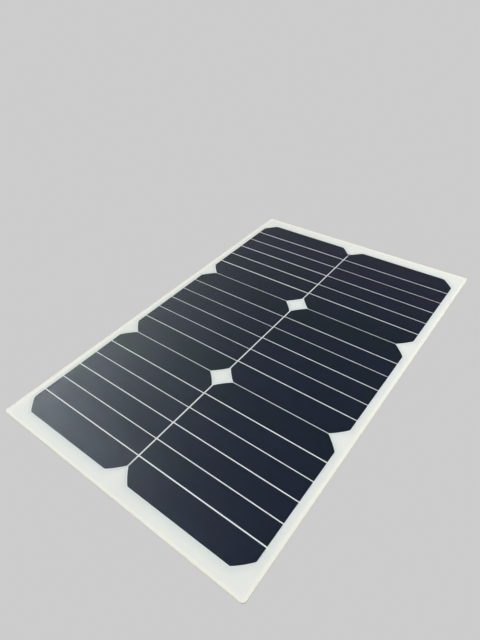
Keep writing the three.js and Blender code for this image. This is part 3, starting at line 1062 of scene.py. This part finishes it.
@dataclass
class JunctionBox:
    """The box under the near end: shell, lid, terminals, diode and the lead-out ribbons."""

    pad_ease: float = 0.15
    shell_ease: float = 0.45
    small_ease: float = 0.2
    carrier_ease: float = 0.3
    screw_ease: float = 0.15
    lead_ease: float = 0.04
    raised_ease: float = 0.1
    bury: float = 0.15
    mark_height: float = 0.35
    mark_length: float = 6.0
    mark_width: float = 1.4
    mark_x: float = 12.0
    mark_y: float = -151.0
    frame_inset: float = 4.5
    frame_width: float = 0.9
    frame_height: float = 0.3
    rib_count: int = 4
    rib_pitch: float = 2.6
    rib_length: float = 2.4
    rib_width: float = 0.8
    rib_from_end: float = 0.6
    rib_height: float = 0.3
    pin_end: float = 0.35
    diode_start: float = -181.5
    diode_end: float = -173.0
    diode_ease: float = 0.5
    diode_shoulder: tuple[float, float] = (0.075, 0.15)
    diode_lead: float = 0.6
    lead_sunk: float = 0.3
    band_width: float = 1.2
    band_from_end: float = 1.3
    band_proud: float = 0.02
    band_sunk: float = 0.2

    def build(self) -> None:
        """Builds the box from its pad outwards."""
        self.build_shell()
        self.build_lid()
        self.build_pin()
        self.build_terminals()
        self.build_diode()
        for side in ("positive", "negative"):
            label = Label(f"{side}_lead", TINNED, "ribbon", f"{side}_ribbon")
            ease_copy(label, self.lead_ease)

    def build_shell(self) -> None:
        """Builds the pad, the base, its gasket and the terminals' carrier."""
        ease_copy(Label("foam_pad", FOAM, "adhesive_pad", "adhesive_pad"), self.pad_ease)
        ease_copy(Label("box_shell", SHELL, "box_shell", "junction_box_base"), self.shell_ease)
        ease_copy(Label("gasket_cord", RUBBER, "rubber", "lid_gasket"), self.small_ease)
        ease_copy(Label("carrier_plate", CARRIER, "carrier", "terminal_carrier"), self.carrier_ease)

    def build_lid(self) -> None:
        """Builds the lid with its raised frame, its polarity marks and its thumb ribs."""
        plate = Label("lid_plate", SHELL, "box_shell", "junction_box_lid", "lid")
        ease_copy(plate, self.shell_ease)
        low, high = box_mm("junction_box_lid")
        pad_low, pad_high = box_mm("adhesive_pad")
        inset, width = self.frame_inset, self.frame_width
        x0, x1 = pad_low[0] + inset, pad_high[0] - inset
        y0, y1 = low[1] + inset, high[1] - inset
        bars = [
            rectangle(x0, y0, x1, y0 + width),
            rectangle(x0, y1 - width, x1, y1),
            rectangle(x0, y0 + width, x0 + width, y1 - width),
            rectangle(x1 - width, y0 + width, x1, y1 - width),
        ]
        half, thin = self.mark_length / 2, self.mark_width / 2
        corner = [(half, thin), (thin, thin), (thin, half)]
        quarters = ((1, 0), (0, 1), (-1, 0), (0, -1))
        x, y = self.mark_x, self.mark_y
        arms = [(px * c - py * s, px * s + py * c) for c, s in quarters for px, py in corner]
        plus = [(px - x, py + y) for px, py in arms]
        minus = rectangle(x - half, y - thin, x + half, y + thin)
        ribs = []
        for number in range(self.rib_count):
            start, end = high[0] - self.rib_length, high[0] - self.rib_from_end
            along = (low[1] + high[1]) / 2 + (number - (self.rib_count - 1) / 2) * self.rib_pitch
            side = self.rib_width / 2
            ribs.append(rectangle(start, along - side, end, along + side))
        for name, outlines, height in (
            ("lid_frame", bars, self.frame_height),
            ("plus_mark", [plus], self.mark_height),
            ("minus_mark", [minus], self.mark_height),
            ("thumb_ribs", ribs, self.rib_height),
        ):
            label = Label(name, SHELL, "box_shell", body="lid")
            levels = low[2] - height, low[2] + self.bury
            raise_outlines(label, outlines, *levels, self.raised_ease)

    def build_pin(self) -> None:
        """Builds the hinge pin with turned ends."""
        low, high = box_mm("hinge_pin")
        radius, length, end = (high[2] - low[2]) / 2, high[1] - low[1], self.pin_end
        half = [(0, length), (radius - end, length), (radius, length - end)]
        place = ((low[0] + high[0]) / 2, low[1], (low[2] + high[2]) / 2)
        label = Label("turned_pin", ZINC, "steel", "hinge_pin")
        turn_piece(label, both_ends(half, length), place)

    def build_terminals(self) -> None:
        """Builds the two brass terminals and their screws."""
        for side in ("positive", "negative"):
            node, body = f"{side}_terminal", f"{side}_screw"
            ease_copy(Label(f"{side}_clamp", BRASS, "terminal", node), self.small_ease)
            screw = Label(f"{side}_screw_body", ZINC, "steel", f"{node}_screw", body)
            ease_copy(screw, self.screw_ease)

    def build_diode(self) -> None:
        """Builds the blocking diode: moulded body, cathode band and tinned leads."""
        low, high = box_mm("blocking_diode")
        x, z, radius = (low[0] + high[0]) / 2, (low[2] + high[2]) / 2, (high[0] - low[0]) / 2
        start, end, ease = self.diode_start, self.diode_end, self.diode_ease
        length, (narrow, short) = end - start, self.diode_shoulder
        half = [
            (0, length),
            (radius - ease, length),
            (radius - narrow, length - short),
            (radius, length - ease),
        ]
        body = Label("diode_body", EPOXY, "diode", "blocking_diode")
        inner, width = radius - self.band_sunk, self.band_width
        ring = both_ends([(inner, width), (radius + self.band_proud, width)], width)
        ring.append(ring[0])
        band = Label("diode_band", BAND, "diode")
        turn_piece(body, both_ends(half, length), (x, start, z))
        turn_piece(band, ring, (x, end - self.band_from_end - width, z))
        wires = ((low[1], start + self.lead_sunk), (end - self.lead_sunk, high[1]))
        for number, (first, last) in enumerate(wires, start=1):
            wire = both_ends([(0, last - first), (self.diode_lead, last - first)], last - first)
            turn_piece(Label(f"diode_lead_{number}", TINNED, "ribbon"), wire, (x, first, z))


@dataclass
class CableGland:
    """The gland in the box's far wall, which grips the lead."""

    ease: float = 0.3
    seal_ease: float = 0.2

    def build(self) -> None:
        """Builds the gland's body, nuts and seal."""
        ease_copy(Label("gland_barrel", NYLON, "gland", "gland_body"), self.ease)
        ease_copy(Label("inner_nut", NYLON, "gland", "gland_lock_nut"), self.ease)
        ease_copy(Label("cap_nut", NYLON, "gland", "gland_nut", "gland_nut"), self.ease)
        ease_copy(Label("seal_ring", RUBBER, "rubber", "gland_seal"), self.seal_ease)


# ---------------- studio


def aim_object(name: str, data: bpy.types.ID, place: Place, aim: Place, roll: float) -> Piece:
    """Adds a lamp or a camera that looks from one place at another.

    Args:
        name: its name.
        data: the lamp or the camera.
        place: where it is, in metres.
        aim: what it looks at, in metres.
        roll: how far it turns about its own line of sight, in degrees.

    Returns:
        The object.
    """
    made = bpy.data.objects.new(name, data)
    bpy.context.scene.collection.objects.link(made)
    made.location = place
    made.rotation_mode = "QUATERNION"
    level = (Vector(aim) - Vector(place)).to_track_quat("-Z", "Y")
    made.rotation_quaternion = level @ Quaternion((0.0, 0.0, 1.0), math.radians(roll))
    return made


@dataclass
class Studio:
    """Pale floor, plain walls, one soft lamp and the camera. Its lengths are metres."""

    floor_level: float = -0.09
    floor_reach: float = 12.0
    floor_colour: str = "#cccccc"
    wall_low: str = "#cccccc"
    wall_high: str = "#7f8083"
    wall_rise: tuple[float, float] = (0.15, 0.45)
    window_colour: str = "#fafffe"
    window_turn: float = 189.0
    window_rise: float = 2.0
    window_edge: float = 0.02
    window_core: float = 0.72
    window_softness: float = 7.4
    window_power: float = 8.0
    sill_low: float = 0.3
    sill_high: float = 0.66
    lamp_place: Place = (0.75, 0.45, 0.95)
    lamp_side: float = 0.7
    lamp_power: float = 7.0
    camera_place: Place = (0.21923, -0.29439, 0.33126)
    camera_aim: Place = (-0.03574, 0.00845, 0.0021)
    camera_roll: float = -4.05
    camera_clips: tuple[float, float] = (0.01, 100.0)
    lens: float = 27.35
    sensor: float = 36.0

    def build(self) -> None:
        """Builds the floor, the walls, the lamp and the camera."""
        self.build_floor()
        self.build_walls()
        self.build_lamp()
        self.build_camera()

    def build_floor(self) -> None:
        """Lays an evenly lit pale floor, seen only from above."""
        mesh = bpy.data.meshes.new("studio_floor")
        r, z = self.floor_reach, self.floor_level
        mesh.from_pydata([(x, y, z) for x, y in rectangle(-r, -r, r, r)], [], [(0, 1, 2, 3)])
        floor = bpy.data.objects.new("studio_floor", mesh)
        bpy.context.scene.collection.objects.link(floor)
        material = bpy.data.materials.new("lit_paper")
        material.use_nodes = True
        tree = material.node_tree
        tree.nodes.clear()
        paper = add_node(tree, "Emission", {"Color": linear(self.floor_colour), "Strength": 1.0})
        below = add_node(tree, "BsdfTransparent")
        under = add_node(tree, "NewGeometry", out="Backfacing")
        mixed = add_node(tree, "MixShader", {0: under, 1: paper, 2: below})
        add_node(tree, "OutputMaterial", {"Surface": mixed})
        mesh.materials.append(material)

    def build_walls(self) -> None:
        """Surrounds the scene with plain walls and one broad window that only lights it."""
        world = bpy.data.worlds.new("studio_walls")
        world.use_nodes = True
        tree = world.node_tree
        tree.nodes.clear()
        point = add_node(tree, "TexCoord", out="Generated")
        up = add_node(tree, "SeparateXYZ", {"Vector": point}, out="Z")
        rise = {0: up, 1: self.wall_rise[0], 2: self.wall_rise[1]}
        share = add_node(tree, "MapRange", rise, interpolation_type="SMOOTHSTEP")
        parts = {0: share, 6: linear(self.wall_low), 7: linear(self.wall_high)}
        walls = add_node(tree, "Mix", parts, out=2, data_type="RGBA")
        glow = add_node(tree, "Background", {"Color": walls, "Strength": 1.0})
        light = {"Color": linear(self.window_colour), "Strength": self.window(tree, point, up)}
        both = add_node(tree, "AddShader", {0: glow, 1: add_node(tree, "Background", light)})
        backdrop = add_node(tree, "Background", {"Color": linear(self.wall_low)})
        seen = add_node(tree, "LightPath", out="Is Camera Ray")
        shown = add_node(tree, "MixShader", {0: seen, 1: both, 2: backdrop})
        add_node(tree, "OutputWorld", {"Surface": shown})
        bpy.context.scene.world = world

    def window(self, tree: Tree, point: Socket, up: Socket) -> Socket:
        """Works out how bright the window is in each direction.

        Args:
            tree: the world's tree.
            point: the direction.
            up: how far the direction rises.

        Returns:
            The brightness.
        """
        turn, rise = math.radians(self.window_turn), math.radians(self.window_rise)
        flat = math.cos(rise)
        towards = (flat * math.cos(turn), flat * math.sin(turn), math.sin(rise))
        facing = add_node(
            tree, "VectorMath", {0: point, 1: towards}, out="Value", operation="DOT_PRODUCT"
        )
        near = add_node(tree, "MapRange", {0: facing, 1: self.window_edge, 2: self.window_core})
        soft = add_node(tree, "Math", {0: near, 1: self.window_softness}, operation="POWER")
        above = {0: up, 1: self.sill_low, 2: self.sill_high, 4: self.window_power}
        sill = add_node(tree, "MapRange", above, interpolation_type="SMOOTHSTEP")
        return add_node(tree, "Math", {0: soft, 1: sill}, operation="MULTIPLY")

    def build_lamp(self) -> None:
        """Hangs a square soft box, out of the camera's sight."""
        data = bpy.data.lights.new("fill_lamp", "AREA")
        data.shape = "SQUARE"
        data.size = self.lamp_side
        data.energy = self.lamp_power
        lamp = aim_object("fill_lamp", data, self.lamp_place, (0.0, 0.0, 0.0), 0.0)
        lamp.visible_camera = False

    def build_camera(self) -> None:
        """Places the camera and makes it the scene's."""
        data = bpy.data.cameras.new("camera")
        data.lens = self.lens
        data.sensor_width = self.sensor
        data.clip_start, data.clip_end = self.camera_clips
        scene = bpy.context.scene
        scene.camera = aim_object(
            "camera", data, self.camera_place, self.camera_aim, self.camera_roll
        )
        scene.view_settings.view_transform = "Standard"


def main() -> None:
    """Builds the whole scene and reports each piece."""
    logging.basicConfig(level=logging.INFO, format="%(message)s")
    for part in (Studio(), Laminate(), JunctionBox(), CableGland()):
        before = set(bpy.data.objects.keys())
        part.build()
        for name in sorted(set(bpy.data.objects.keys()) - before):
            log.info("%s: %s", type(part).__name__, name)


if __name__ == "__main__":
    main()
